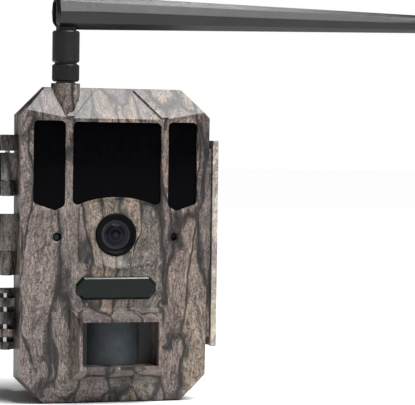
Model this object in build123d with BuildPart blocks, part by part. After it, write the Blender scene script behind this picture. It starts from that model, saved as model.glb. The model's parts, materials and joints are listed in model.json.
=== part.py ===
from build123d import *
import os
from math import hypot

# Trail camera with a hinged front, a battery case and a folding antenna.
# Millimetres. The origin is the mouth of the tripod thread in the flat bottom,
# +X is the viewer's right, -Y is the way the lens looks and +Z is up.

os.makedirs("parts", exist_ok=True)

# Case
body_height = 148.0
half_width_top = 46.9        # at the parting plane, upper end of the side walls
half_width_bottom = 46.0     # at the parting plane, lower end of the side walls
top_corner = 13.3            # leg of the 45 degree corner cuts
bottom_corner = 12.2
wall = 2.6
parting = 20.0               # parting plane, forward of the tripod thread
parting_gap = 0.3
front_depth = 12.1
rear_depth = 48.0
rear_narrowing = 12.0        # each side, from the parting plane to the back
rear_drop = 6.0              # of the top, from the parting plane to the back
face = parting + front_depth
back = parting - rear_depth

# Front face
side_draft = 3.5             # degrees
panel_half_width = 23.0      # flat middle panel, beyond which the sides lean back
side_lean = 2.4              # how far the side facets fall back at the outer edge
top_bevel_start = 133.5
top_bevel_depth = 8.0
bottom_bevel_start = 10.0
bottom_bevel_depth = 4.0

top_rib = [(9.3, 15.4), (12.9, 15.4), (25.0, 0.6), (21.4, 0.6)]     # on the top bevel, right side
top_rib_rise = 0.9

# Windows in front of the infrared lamps
window_lip = 1.4             # from the face down to the pane
pane_thickness = 1.2
pane_overlap = 1.0           # hidden edge of the pane behind the lip
pane_play = 0.1
window_corner = 2.4
window_top = 131.9
middle_window_half = 21.6
middle_window_low = 93.2
middle_window_rise = 3.6     # of the arched lower edge
side_window_inner = 25.1
side_window_outer = 40.2

# Lens
lens_height = 79.1
lens_ring_radius = 10.0
lens_bore_radius = 7.2
dish_radius = 15.4
bezel_half_width = 18.4
bezel_rise = 1.0
bezel_side = (67.0, 92.0)    # ends of the straight sides
bezel_arc = (63.2, 95.4)     # lowest and highest points
sensor_hole = (5.8, 78.1)    # on each side facet: sound on the right, daylight on the left
sensor_hole_radius = 2.1
microphone_point = (28.8, 78.1)
light_sensor_point = (-28.7, 78.1)
light_chip = (2.3, 1.2)      # radius and depth
light_guide = (1.7, 3.6)

# Motion sensor hood
hood_depth = 9.3
hood_foot = (45.0, 34.0, 27.9)     # width, height and middle height where it meets the face
hood_rim = (40.0, 23.8, 28.3)      # the same at its front rim
hood_mouth_half = 18.5
hood_mouth_low = 17.9
hood_mouth_high = 38.7
motion_lens_half = 12.8
motion_lens_setback = 3.8    # limbs of the lens behind the face
motion_lens_bulge = 6.6
motion_lens_wall = 1.0

# Nameplate
plate_half_length = 19.6
plate_height = 10.6
plate_centre = 54.1
plate_thickness = 1.7
plate_pocket = 0.4
plate_corner = 3.4
plate_bevel = 1.0

# Hinge and latch
pin_radius = 1.1
pin_play = 0.05
hinge_x = -50.0
knuckle_radius = 2.8
knuckle_web = 4.9            # from the pin's axis into the case wall
hinge_plate_width = 7.8
hinge_plate_thickness = 2.5
hinge_plate_gap = 0.3        # behind the front's knuckles
latch_x = 49.9
latch_forward = 15.0
latch_knuckle_radius = 2.4
latch_low = 25.4
latch_high = 124.0
latch_outer = 51.8
latch_plate = 1.8
latch_lip_inner = 48.9
latch_front = 27.5
keeper_outer = 48.5
keeper_depth = 4.3
keeper_setback = 2.2         # forward of the parting plane
keeper_span = (30.0, 120.0)
keeper_width = 3.9
lever_back = 17.8            # rear edge of the lever's plate
lever_lip = 1.8
grip_length = 34.0           # of the three ridges on the lever
grip_width = 1.0
grip_forward = 22.0

# Antenna
antenna_x = -23.2
antenna_forward = 23.1
boss_radius = 6.8
boss_top = 149.8
boss_low = 137.0
boss_foot = (3.6, 2.8)       # where it runs out between the windows
boss_room_low = 130.0        # behind the parting plane the boss is cut clear of the rear case
jack_radius = 3.15
jack_low = 140.0
jack_high = 157.9
washer_radius = 4.6
washer_thickness = 0.7
nut_low = 150.7
nut_high = 158.8
antenna_radius = 6.4
base_low = 159.6
base_high = 174.4
tilt_height = 183.1
tongue_half_width = 4.25
tongue_thickness = 5.0
tongue_play = 0.3
paddle_root_end = 5.7        # flat end, behind the tilt pin
paddle_root_corner = 4.0
paddle_end_bevel = 1.5
paddle_root_half = 8.2
paddle_tip_half = 4.4
paddle_reach = 181.0         # tip, from the tilt pin
paddle_root_thickness = 12.8
paddle_tip_thickness = 7.0
tilt_pin_radius = 1.5
tilt_pin_length = 10.3       # pressed in from behind, short of the front ear's face

# Batteries, standard AA cells in two rows of four
cell_radius = 7.25
cell_body = 49.2
nub_radius = 2.75
nub_height = 1.3
cell_pitch = 15.4
cell_forward = 10.0
row_lows = (14.0, 69.5)
row_length = 54.0
contact_thickness = 0.4
spring_height = 1.8
tray_half_width = 31.65
tray_low = 12.0
tray_high = 125.5
tray_back = 1.0
tray_front = 11.0

battery_post_spacing = (48.0, 94.0)
battery_post_middle = 69.0
battery_post_radius = 3.6
contact_size = (9.0, 8.0)

# Inner cover and its controls
cover_thickness = 1.8
cover_play = 0.3
screen_size = (36.0, 27.0)
screen_centre = (-14.0, 106.0)
key_centre = (23.0, 106.0)
key_spacing = 9.0
key_radius = 2.9
key_height = 3.9
key_proud = 1.0
key_play = 0.3
switch_centre = (-22.0, 74.0)
switch_slot = (13.0, 4.6)
switch_knob = (5.0, 4.0)
pocket_centre = (18.0, 36.0)
pocket_size = (34.0, 40.0)
card_size = (24.0, 32.0)
card_thickness = 2.1
card_centre = (18.0, 38.2)
socket_centre = (18.0, 44.0)
usb_centre = (-24.0, 24.0)
usb_pocket = (16.0, 20.0)
board_forward = 24.2
board_thickness = 1.6
board_half_width = 36.0
board_low = 12.0
board_high = 130.0
lamp_board_forward = 26.2
lamp_board_thickness = 1.0
lamp_radius = 1.9
lamp_height = 1.9
side_lamp_height = 0.6
screw_post_radius = 2.4
screw_post_end = 28.2        # forward of the tripod thread, on the back of the front shell
screw_hole_radius = 0.95
screw_hole_depth = 6.5
screw_head_radius = 1.9
screw_seat_depth = 1.2
screw_points = [(x * side, z) for x, z in ((40.0, 24.0), (40.0, 84.0), (36.0, 136.6)) for side in (-1, 1)]

# Mounting hardware
insert_flats = 8.8           # across flats of the hexagonal insert
insert_length = 9.0
insert_boss_radius = 7.0
insert_boss_end = 10.9
thread_radius = 2.55         # core of a 1/4-20 thread
bracket_half_width = 24.0
bracket_low = 35.0
bracket_high = 113.0
bracket_plate = 3.0
bracket_reach = 14.0
strap_slot_length = 28.0
strap_slot_width = 5.0
bracket_post_radius = 3.0
bracket_post_length = 5.0
bracket_pilot_radius = 1.3
bracket_screws = [(x, z) for x in (-12.0, 12.0) for z in (45.0, 103.0)]
jack_x = 17.0                # power jack in the bottom
jack_y = 12.0
jack_recess_radius = 5.6


def forward(distance):
    """Plane facing the way the lens looks, that far forward of the tripod thread."""
    return Plane.XZ.offset(distance)


def case_outline(narrowing=0.0, drop=0.0, inset=0.0, foot=0.0):
    """Eight-sided outline of the case, added to the current sketch.

    The foot carries the lower corner cuts on below the bottom, for trimming to a true plane.
    """
    slope = (half_width_top - half_width_bottom) / (body_height - top_corner - bottom_corner)
    top = body_height - drop
    low_x = half_width_bottom - narrowing
    high_x = low_x + slope * (top - top_corner - bottom_corner)
    Polygon(
        (low_x - bottom_corner - foot, -foot),
        (low_x, bottom_corner),
        (high_x, top - top_corner),
        (high_x - top_corner, top),
        (top_corner - high_x, top),
        (-high_x, top - top_corner),
        (-low_x, bottom_corner),
        (foot + bottom_corner - low_x, -foot),
        align=None,
    )
    if inset:
        offset(amount=-inset, kind=Kind.INTERSECTION, mode=Mode.REPLACE)


def middle_window_outline(grow=0.0):
    """Middle window with its arched lower edge, added to the current sketch."""
    arch_half = middle_window_half - window_corner - 0.7
    low = middle_window_low
    with BuildLine() as outline:
        ThreePointArc((-arch_half, low), (0, low + middle_window_rise), (arch_half, low))
        Polyline(
            (arch_half, low),
            (middle_window_half, low),
            (middle_window_half, window_top),
            (-middle_window_half, window_top),
            (-middle_window_half, low),
            (-arch_half, low),
        )
    make_face(outline.edges())
    fillet(vertices().group_by(Axis.X)[0] + vertices().group_by(Axis.X)[-1], radius=window_corner)
    if grow:
        offset(amount=grow, mode=Mode.REPLACE)


def side_window_outline(grow=0.0):
    """Side window with its slanted lower edge, on the plane of the right side facet."""
    inner = side_window_inner - panel_half_width
    outer = side_window_outer - panel_half_width
    Polygon(
        (inner, window_top + 0.4),
        (inner, 92.6),
        (inner + 4.6, 90.4),
        (outer, 93.8),
        (outer, window_top + 0.4),
        align=None,
    )
    fillet(vertices(), radius=window_corner)
    if grow:
        offset(amount=grow, mode=Mode.REPLACE)


lean_run = half_width_top - panel_half_width
lean_length = hypot(lean_run, side_lean)
facet_plane = Plane(
    origin=(panel_half_width, -face, 0),
    x_dir=(lean_run / lean_length, side_lean / lean_length, 0),
    z_dir=(side_lean / lean_length, -lean_run / lean_length, 0),
)
left_facet_plane = Plane(
    origin=(-panel_half_width, -face, 0),
    x_dir=(lean_run / lean_length, -side_lean / lean_length, 0),
    z_dir=(-side_lean / lean_length, -lean_run / lean_length, 0),
)
top_bevel_plane = Plane(
    origin=(0, -face, top_bevel_start),
    x_dir=(1, 0, 0),
    z_dir=(0, top_bevel_start - body_height, top_bevel_depth),
)
bottom_bevel_plane = Plane(
    origin=(0, -face, bottom_bevel_start),
    x_dir=(1, 0, 0),
    z_dir=(0, -bottom_bevel_start, -bottom_bevel_depth),
)

# ---------------------------------------------------------------- front half

# Hinge knuckles as (low, high) spans: the front's and the rear case's take turns.
# Behind them the rear case has plates that join its own knuckles into blocks.
front_knuckles = [(104.2, 117.0), (71.1, 88.3), (45.0, 49.2), (30.9, 34.6)]
rear_knuckles = [(117.9, 125.4), (96.8, 103.9), (59.7, 70.8), (51.5, 53.6), (37.0, 42.6), (25.0, 28.5)]
hinge_plates = [(117.9, 125.4), (96.8, 117.0), (59.7, 88.3), (25.0, 53.6)]

# Side window opening and the pocket its pane sits in, right side
with BuildPart() as side_window_cutter:
    with BuildSketch(facet_plane.offset(1.0)):
        side_window_outline()
    extrude(amount=-(wall + 2.0))
    with BuildSketch(facet_plane.offset(-window_lip)):
        side_window_outline(pane_overlap + pane_play)
    extrude(amount=-(pane_thickness + 1.0))

with BuildPart() as front_housing:
    with BuildSketch(forward(parting)):
        case_outline()
    extrude(amount=front_depth, taper=side_draft)
    for cut in (facet_plane, left_facet_plane, top_bevel_plane, bottom_bevel_plane):
        split(bisect_by=cut, keep=Keep.BOTTOM)
    offset(amount=-wall, openings=front_housing.faces().sort_by(Axis.Y)[-1], kind=Kind.INTERSECTION)

    # Barrel-shaped bezel around the lens
    with BuildSketch(forward(face - 0.5)):
        with BuildLine():
            side_low, side_high = bezel_side
            low, high = bezel_arc
            ThreePointArc((-bezel_half_width, side_high), (0, high), (bezel_half_width, side_high))
            Line((bezel_half_width, side_high), (bezel_half_width, side_low))
            ThreePointArc((bezel_half_width, side_low), (0, low), (-bezel_half_width, side_low))
            Line((-bezel_half_width, side_low), (-bezel_half_width, side_high))
        make_face()
    extrude(amount=bezel_rise + 0.5)

    # Hood around the motion sensor: sloped outside, straight inside
    for depth, (width, height, middle) in ((-0.5, hood_foot), (hood_depth, hood_rim)):
        with BuildSketch(forward(face + depth)):
            with Locations((0, middle)):
                Rectangle(width, height)
    loft()
    with BuildSketch(forward(face - motion_lens_setback)):
        with Locations((0, hood_rim[2])):
            Rectangle(hood_rim[0], hood_rim[1])
    extrude(amount=motion_lens_setback)
    with BuildSketch(forward(face - motion_lens_setback - 1.0)):
        with Locations((0, (hood_mouth_low + hood_mouth_high) / 2)):
            Rectangle(2 * hood_mouth_half, hood_mouth_high - hood_mouth_low)
    extrude(amount=hood_depth + motion_lens_setback + 2.0, mode=Mode.SUBTRACT)

    # Windows
    with BuildSketch(forward(face + 1.0)):
        middle_window_outline()
    extrude(amount=-(wall + 2.0), mode=Mode.SUBTRACT)
    with BuildSketch(forward(face - window_lip)):
        middle_window_outline(pane_overlap + pane_play)
    extrude(amount=-(pane_thickness + 1.0), mode=Mode.SUBTRACT)
    add(side_window_cutter.part, mode=Mode.SUBTRACT)
    mirror(side_window_cutter.part, about=Plane.YZ, mode=Mode.SUBTRACT)

    # Conical dish and the hole of the lens ring
    with BuildSketch(forward(face + bezel_rise)):
        with Locations((0, lens_height)):
            Circle(dish_radius)
    with BuildSketch(forward(face - 1.0)):
        with Locations((0, lens_height)):
            Circle(lens_ring_radius + 0.3)
    loft(mode=Mode.SUBTRACT)
    with BuildSketch(forward(face + bezel_rise)):
        with Locations((0, lens_height)):
            Circle(lens_ring_radius + 0.1)
    extrude(amount=-(bezel_rise + wall + 1.0), mode=Mode.SUBTRACT)

    # Sound hole in the right facet, its twin for the light sensor, and the nameplate's pocket
    for plane, side in ((facet_plane, 1), (left_facet_plane, -1)):
        with BuildSketch(plane.offset(1.0)):
            with Locations((side * sensor_hole[0], sensor_hole[1])):
                Circle(sensor_hole_radius)
        extrude(amount=-(wall + 2.0), mode=Mode.SUBTRACT)
    with BuildSketch(forward(face)):
        with Locations((0, plate_centre)):
            Rectangle(2 * plate_half_length + 0.2, plate_height + 0.2)
        chamfer(vertices(), length=plate_corner)
    extrude(amount=-plate_pocket, mode=Mode.SUBTRACT)

    # Raised ribs that frame the middle of the top bevel
    with BuildSketch(top_bevel_plane):
        with BuildLine():
            Polyline(*top_rib, close=True)
        make_face()
        mirror(about=Plane.YZ)
    extrude(amount=top_rib_rise)

    # Antenna boss, blended down into the strip between the left and middle windows
    with BuildSketch(Plane.XY.offset(body_height - 0.2)):
        with Locations((antenna_x, -antenna_forward)):
            Circle(boss_radius)
    with BuildSketch(Plane.XY.offset(top_bevel_start)):
        with Locations((antenna_x, -face + boss_foot[1] / 2)):
            Rectangle(*boss_foot)
    loft()
    with Locations((antenna_x, -antenna_forward, boss_low)):
        Cylinder(boss_radius, boss_top - boss_low, align=(Align.CENTER, Align.CENTER, Align.MIN))
    with Locations((antenna_x, -parting, boss_room_low)):
        Box(20, 10, body_height + 0.2 - boss_room_low, align=(Align.CENTER, Align.MIN, Align.MIN),
            mode=Mode.SUBTRACT)
    with Locations((antenna_x, -antenna_forward, jack_low - 1.0)):
        Cylinder(jack_radius + pin_play, 20, align=(Align.CENTER, Align.CENTER, Align.MIN),
                 mode=Mode.SUBTRACT)

    # Screw posts for the inner cover
    with BuildSketch(forward(parting + cover_thickness)):
        with Locations(*screw_points):
            Circle(screw_post_radius)
    extrude(amount=screw_post_end - parting - cover_thickness)
    with BuildSketch(forward(parting)):
        with Locations(*screw_points):
            Circle(screw_hole_radius)
    extrude(amount=screw_hole_depth, mode=Mode.SUBTRACT)

    # Hinge knuckles
    for low, high in front_knuckles:
        with BuildSketch(Plane.XY.offset(low)):
            with Locations((hinge_x, -parting)):
                Circle(knuckle_radius)
                Rectangle(knuckle_web, knuckle_radius, align=(Align.MIN, Align.MAX))
        extrude(amount=high - low)
        with Locations((hinge_x, -parting, low)):
            Cylinder(pin_radius + pin_play, high - low, align=(Align.CENTER, Align.CENTER, Align.MIN),
                     mode=Mode.SUBTRACT)

    # Keeper rib that the latch closes over
    with BuildSketch(forward(parting + keeper_setback)):
        with Locations((keeper_outer, keeper_span[0])):
            Rectangle(keeper_width, keeper_span[1] - keeper_span[0], align=(Align.MAX, Align.MIN))
    extrude(amount=keeper_depth)
front_housing.part.label = "front_housing"
export_step(front_housing.part, "parts/front_housing.step")

with BuildPart() as window_center:
    with BuildSketch(forward(face - window_lip)):
        middle_window_outline(pane_overlap)
    extrude(amount=-pane_thickness)
window_center.part.label = "window_center"
export_step(window_center.part, "parts/window_center.step")

with BuildPart() as window_right:
    with BuildSketch(facet_plane.offset(-window_lip)):
        side_window_outline(pane_overlap)
    extrude(amount=-pane_thickness)
window_right.part.label = "window_right"
export_step(window_right.part, "parts/window_right.step")

with BuildPart() as window_left:
    mirror(window_right.part, about=Plane.YZ)
window_left.part.label = "window_left"
export_step(window_left.part, "parts/window_left.step")

# ------------------------------------------------------------ lens and sensor


lens_plane = Plane.XY.offset(lens_height)
lens_axis = Axis((0, 0, lens_height), (0, 1, 0))


def turning_profile(points):
    """Half section given as (radius, forward) points, added to the current sketch."""
    Polygon(*[(radius, -ahead) for radius, ahead in points], align=None)


with BuildPart() as lens_ring:
    with BuildSketch(lens_plane):
        turning_profile([
            (lens_bore_radius, 26.6), (lens_ring_radius, 26.6), (lens_ring_radius, 31.3),
            (9.4, 31.9), (8.9, 31.9), (lens_bore_radius + 0.5, 30.9), (lens_bore_radius, 30.9),
        ])
    revolve(axis=lens_axis)
lens_ring.part.label = "lens_ring"
export_step(lens_ring.part, "parts/lens_ring.step")

with BuildPart() as lens_barrel:
    with BuildSketch(lens_plane):
        turning_profile([
            (4.0, 27.0), (7.1, 27.0), (7.1, 30.3), (6.9, 30.5), (6.2, 30.5),
            (6.0, 29.9), (5.4, 29.9), (5.4, 28.3), (4.0, 28.3),
        ])
    revolve(axis=lens_axis)
lens_barrel.part.label = "lens_barrel"
export_step(lens_barrel.part, "parts/lens_barrel.step")

with BuildPart() as lens_front_glass:
    with BuildSketch(lens_plane):
        with BuildLine():
            Polyline((5.3, -29.7), (5.3, -28.4), (0, -28.4), (0, -30.9))
            ThreePointArc((0, -30.9), (2.75, -30.58), (5.3, -29.7))
        make_face()
    revolve(axis=lens_axis)
lens_front_glass.part.label = "lens_front_glass"
export_step(lens_front_glass.part, "parts/lens_front_glass.step")

with BuildPart() as lens_rear_glass:
    with BuildSketch(forward(27.2)):
        with Locations((0, lens_height)):
            Circle(3.9)
    extrude(amount=0.9)
lens_rear_glass.part.label = "lens_rear_glass"
export_step(lens_rear_glass.part, "parts/lens_rear_glass.step")

with BuildPart() as image_sensor:
    with BuildSketch(forward(board_forward + board_thickness)):
        with Locations((0, lens_height)):
            Rectangle(9.0, 8.0)
    extrude(amount=0.9)
image_sensor.part.label = "image_sensor"
export_step(image_sensor.part, "parts/image_sensor.step")

with BuildPart() as nameplate:
    with BuildSketch(forward(face - plate_pocket)):
        with Locations((0, plate_centre)):
            Rectangle(2 * plate_half_length, plate_height)
        chamfer(vertices(), length=plate_corner)
    extrude(amount=plate_thickness)
    chamfer(nameplate.faces().sort_by(Axis.Y)[0].edges(), length=plate_bevel)
nameplate.part.label = "nameplate"
export_step(nameplate.part, "parts/nameplate.step")

# Motion sensor: domed strip lens, the plate that holds it and the sensor can
limb_forward = face - motion_lens_setback
mouth_height = hood_mouth_high - hood_mouth_low

with BuildPart() as pir_lens:
    with BuildSketch(Plane.XY.offset(hood_mouth_low + 0.2)):
        with BuildLine():
            ThreePointArc(
                (-motion_lens_half, -limb_forward),
                (0, -limb_forward - motion_lens_bulge),
                (motion_lens_half, -limb_forward),
            )
            Line((motion_lens_half, -limb_forward), (motion_lens_half - motion_lens_wall, -limb_forward))
            ThreePointArc(
                (motion_lens_half - motion_lens_wall, -limb_forward),
                (0, -limb_forward - motion_lens_bulge + motion_lens_wall),
                (motion_lens_wall - motion_lens_half, -limb_forward),
            )
            Line((motion_lens_wall - motion_lens_half, -limb_forward), (-motion_lens_half, -limb_forward))
        make_face()
    extrude(amount=mouth_height - 0.4)
pir_lens.part.label = "pir_lens"
export_step(pir_lens.part, "parts/pir_lens.step")

with BuildPart() as pir_retainer:
    with BuildSketch(forward(limb_forward)):
        with Locations((0, hood_rim[2])):
            Rectangle(hood_rim[0] - 0.4, hood_rim[1] - 0.2)
            Rectangle(22.0, 17.0, mode=Mode.SUBTRACT)
    extrude(amount=-1.3)
pir_retainer.part.label = "pir_retainer"
export_step(pir_retainer.part, "parts/pir_retainer.step")

with BuildPart() as pir_sensor:
    with BuildSketch(forward(board_forward + board_thickness)):
        with Locations((0, hood_rim[2])):
            Circle(5.0)
    extrude(amount=0.6)
    with BuildSketch(forward(board_forward + board_thickness + 0.6)):
        with Locations((0, hood_rim[2])):
            Circle(4.3)
    extrude(amount=3.6)
    fillet(pir_sensor.faces().sort_by(Axis.Y)[0].edges(), radius=0.5)
pir_sensor.part.label = "pir_sensor"
export_step(pir_sensor.part, "parts/pir_sensor.step")

# --------------------------------------------------------------- electronics

with BuildPart() as main_board:
    with BuildSketch(forward(board_forward)):
        with Locations((0, (board_low + board_high) / 2)):
            Rectangle(2 * board_half_width, board_high - board_low)
        chamfer(vertices(), length=5.0)
    extrude(amount=board_thickness)
main_board.part.label = "main_board"
export_step(main_board.part, "parts/main_board.step")

# Lamp boards as (name, centre x, centre z, width, height, columns, rows)
lamp_groups = [
    ("center", 0.0, 114.5, 40.0, 31.0, 6, 5),
    ("left", -32.6, 112.5, 13.0, 36.0, 2, 6),
    ("right", 32.6, 112.5, 13.0, 36.0, 2, 6),
]
for group, group_x, group_z, group_width, group_height, columns, rows in lamp_groups:
    with BuildPart() as lamp_board:
        with BuildSketch(forward(lamp_board_forward)):
            with Locations((group_x, group_z)):
                Rectangle(group_width, group_height)
        extrude(amount=lamp_board_thickness)
    lamp_board.part.label = f"led_board_{group}"
    export_step(lamp_board.part, f"parts/led_board_{group}.step")

    with BuildPart() as lamps:
        with BuildSketch(forward(lamp_board_forward + lamp_board_thickness)):
            with Locations((group_x, group_z)):
                with GridLocations(6.2, 6.0, columns, rows):
                    Circle(lamp_radius)
        extrude(amount=lamp_height if group == "center" else side_lamp_height)
        fillet(lamps.faces().group_by(Axis.Y)[0].edges(), radius=0.4)
    lamps.part.label = f"ir_leds_{group}"
    export_step(lamps.part, f"parts/ir_leds_{group}.step")

with BuildPart() as microphone:
    with BuildSketch(forward(board_forward + board_thickness)):
        with Locations(microphone_point):
            Circle(2.6)
    extrude(amount=1.6)
microphone.part.label = "microphone"
export_step(microphone.part, "parts/microphone.step")

# Light sensor on the board with a clear guide that ends inside the left hole
with BuildPart() as light_sensor:
    with BuildSketch(forward(board_forward + board_thickness)):
        with Locations(light_sensor_point):
            Circle(light_chip[0])
    extrude(amount=light_chip[1])
    with BuildSketch(forward(board_forward + board_thickness + light_chip[1])):
        with Locations(light_sensor_point):
            Circle(light_guide[0])
    extrude(amount=light_guide[1])
    fillet(light_sensor.faces().sort_by(Axis.Y)[0].edges(), radius=0.7)
light_sensor.part.label = "light_sensor"
export_step(light_sensor.part, "parts/light_sensor.step")

with BuildPart() as lcd_screen:
    with BuildSketch(forward(parting + cover_thickness + 0.1)):
        with Locations(screen_centre):
            Rectangle(screen_size[0] + 4, screen_size[1] + 4)
    extrude(amount=2.2)
lcd_screen.part.label = "lcd_screen"
export_step(lcd_screen.part, "parts/lcd_screen.step")

# Keys as name and offset from the middle of the pad, in key spacings
keys = {"ok": (0, 0), "up": (0, 1), "down": (0, -1), "left": (-1, 0), "right": (1, 0)}
key_points = {
    name: (key_centre[0] + x * key_spacing, key_centre[1] + z * key_spacing)
    for name, (x, z) in keys.items()
}
key_back = parting - key_proud

with BuildPart() as key_switches:
    with BuildSketch(forward(board_forward)):
        with Locations(*key_points.values()):
            Rectangle(4.4, 4.4)
    extrude(amount=-0.7)
key_switches.part.label = "key_switches"
export_step(key_switches.part, "parts/key_switches.step")

for key_name, key_point in key_points.items():
    with BuildPart() as key:
        with BuildSketch(forward(key_back)):
            with Locations(key_point):
                Circle(key_radius)
        extrude(amount=key_height)
        fillet(key.faces().sort_by(Axis.Y)[-1].edges(), radius=0.5)
        with BuildSketch(forward(parting + cover_thickness + 0.2)):
            with Locations(key_point):
                Circle(key_radius + 0.9)
        extrude(amount=key_back + key_height - parting - cover_thickness - 0.2)
    key.part.label = f"key_{key_name}"
    export_step(key.part, f"parts/key_{key_name}.step")

with BuildPart() as inner_cover:
    with BuildSketch(forward(parting)):
        case_outline(inset=wall + cover_play)
        with Locations((antenna_x, 136.2)):
            Rectangle(2 * boss_radius + 1.0, 20.0, align=(Align.CENTER, Align.MIN), mode=Mode.SUBTRACT)
        with Locations(screen_centre):
            Rectangle(*screen_size, mode=Mode.SUBTRACT)
        with Locations(*key_points.values()):
            Circle(key_radius + key_play, mode=Mode.SUBTRACT)
        with Locations(switch_centre):
            Rectangle(*switch_slot, mode=Mode.SUBTRACT)
        with Locations(pocket_centre):
            Rectangle(*pocket_size, mode=Mode.SUBTRACT)
        with Locations(usb_centre):
            Rectangle(*usb_pocket, mode=Mode.SUBTRACT)
        with Locations(*screw_points):
            Circle(1.0, mode=Mode.SUBTRACT)
    extrude(amount=cover_thickness)
    with BuildSketch(forward(parting)):
        with Locations(*screw_points):
            Circle(screw_head_radius + 0.2)
    extrude(amount=screw_seat_depth, mode=Mode.SUBTRACT)
inner_cover.part.label = "inner_cover"
export_step(inner_cover.part, "parts/inner_cover.step")

with BuildPart() as cover_screws:
    with BuildSketch(forward(parting + 0.1)):
        with Locations(*screw_points):
            Circle(screw_head_radius)
    extrude(amount=screw_seat_depth - 0.1)
    with BuildSketch(forward(parting + screw_seat_depth)):
        with Locations(*screw_points):
            Circle(screw_hole_radius - 0.05)
    extrude(amount=screw_hole_depth - 1.5)
    with BuildSketch(forward(parting + 0.1)):
        for angle in (0, 90):
            with Locations(*[Location((x, z, 0), (0, 0, angle)) for x, z in screw_points]):
                Rectangle(2.2, 0.5)
    extrude(amount=0.6, mode=Mode.SUBTRACT)
cover_screws.part.label = "cover_screws"
export_step(cover_screws.part, "parts/cover_screws.step")

with BuildPart() as power_slider:
    with BuildSketch(forward(parting - 1.0)):
        with Locations((switch_centre[0] - 3.5, switch_centre[1])):
            Rectangle(*switch_knob)
    extrude(amount=2.9)
    with BuildSketch(forward(parting + 1.9)):
        with Locations((switch_centre[0] - 3.5, switch_centre[1])):
            Rectangle(switch_knob[0] + 1.0, switch_knob[1] + 2.0)
    extrude(amount=0.8)
    with BuildSketch(forward(parting - 1.0)):
        with Locations((switch_centre[0] - 3.5, switch_centre[1])):
            with GridLocations(1.4, 1, 3, 1):
                Rectangle(0.5, switch_knob[1] + 1)
    extrude(amount=0.4, mode=Mode.SUBTRACT)
power_slider.part.label = "power_slider"
export_step(power_slider.part, "parts/power_slider.step")

with BuildPart() as power_switch:
    with BuildSketch(forward(board_forward)):
        with Locations(switch_centre):
            Rectangle(15.0, 7.0)
    extrude(amount=-1.4)
power_switch.part.label = "power_switch"
export_step(power_switch.part, "parts/power_switch.step")

with BuildPart() as sd_socket:
    with BuildSketch(forward(board_forward)):
        with Locations(socket_centre):
            Rectangle(card_size[0] + 3.0, 23.0)
    extrude(amount=-2.8)
    with BuildSketch(forward(board_forward - 0.3)):
        with Locations((socket_centre[0], socket_centre[1] - 1.0)):
            Rectangle(card_size[0] + 0.4, 23.0)
    extrude(amount=-(card_thickness + 0.1), mode=Mode.SUBTRACT)
sd_socket.part.label = "sd_socket"
export_step(sd_socket.part, "parts/sd_socket.step")

with BuildPart() as sd_card:
    with BuildSketch(forward(board_forward - 0.35)):
        with Locations(card_centre):
            Rectangle(*card_size)
        chamfer(vertices().sort_by(Axis.Y)[-1], length=4.0)
    extrude(amount=-(card_thickness - 0.1))
sd_card.part.label = "sd_card"
export_step(sd_card.part, "parts/sd_card.step")

with BuildPart() as usb_socket:
    with BuildSketch(Plane.XY.offset(20.0)):
        with Locations((usb_centre[0], -board_forward + 1.75)):
            Rectangle(9.0, 3.4)
        fillet(vertices(), radius=0.9)
    extrude(amount=8.0)
    with BuildSketch(Plane.XY.offset(20.0)):
        with Locations((usb_centre[0], -board_forward + 1.75)):
            Rectangle(7.8, 2.2)
        fillet(vertices(), radius=0.6)
    extrude(amount=6.0, mode=Mode.SUBTRACT)
usb_socket.part.label = "usb_socket"
export_step(usb_socket.part, "parts/usb_socket.step")

# ------------------------------------------------------------------- antenna

antenna_centre = (antenna_x, -antenna_forward)


def upright(radius, low, high, mode=Mode.ADD):
    """Upright cylinder on the antenna's axis."""
    with Locations((*antenna_centre, low)):
        Cylinder(radius, high - low, align=(Align.CENTER, Align.CENTER, Align.MIN), mode=mode)


with BuildPart() as antenna_jack:
    upright(jack_radius, jack_low, jack_high)
    upright(washer_radius, boss_top, boss_top + washer_thickness)
    upright(1.2, jack_high - 4.6, jack_high, Mode.SUBTRACT)
antenna_jack.part.label = "antenna_jack"
export_step(antenna_jack.part, "parts/antenna_jack.step")

with BuildPart() as antenna_nut:
    upright(antenna_radius, nut_low, nut_high)
    chamfer(antenna_nut.edges().filter_by(GeomType.CIRCLE), length=0.7)
    with Locations((*antenna_centre, (nut_low + nut_high) / 2)):
        with PolarLocations(antenna_radius + 0.25, 30):
            Cylinder(0.5, nut_high - nut_low - 2.4, mode=Mode.SUBTRACT)
    upright(jack_radius + pin_play, nut_low, nut_high, Mode.SUBTRACT)
antenna_nut.part.label = "antenna_nut"
export_step(antenna_nut.part, "parts/antenna_nut.step")

with BuildPart() as antenna_base:
    upright(antenna_radius, base_low, base_high)
    chamfer(antenna_base.edges().filter_by(GeomType.CIRCLE), length=0.6)
    upright(5.2, nut_high + 0.2, base_low)
    with Locations((antenna_x, -antenna_forward, base_high - 1.0)):
        Box(2 * tongue_half_width, tongue_thickness, tilt_height - base_high + 1.0,
            align=(Align.CENTER, Align.CENTER, Align.MIN))
    with BuildSketch(forward(antenna_forward - tongue_thickness / 2)):
        with Locations((antenna_x, tilt_height)):
            Circle(tongue_half_width)
    extrude(amount=tongue_thickness)
    with BuildSketch(forward(antenna_forward - tongue_thickness / 2)):
        with Locations((antenna_x, tilt_height)):
            Circle(tilt_pin_radius + pin_play)
    extrude(amount=tongue_thickness, mode=Mode.SUBTRACT)
antenna_base.part.label = "antenna_base"
export_step(antenna_base.part, "parts/antenna_base.step")

with BuildPart() as antenna_hinge_pin:
    with BuildSketch(forward(antenna_forward - paddle_root_thickness / 2 + 0.6)):
        with Locations((antenna_x, tilt_height)):
            Circle(tilt_pin_radius)
    extrude(amount=tilt_pin_length)
antenna_hinge_pin.part.label = "antenna_hinge_pin"
export_step(antenna_hinge_pin.part, "parts/antenna_hinge_pin.step")


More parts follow.
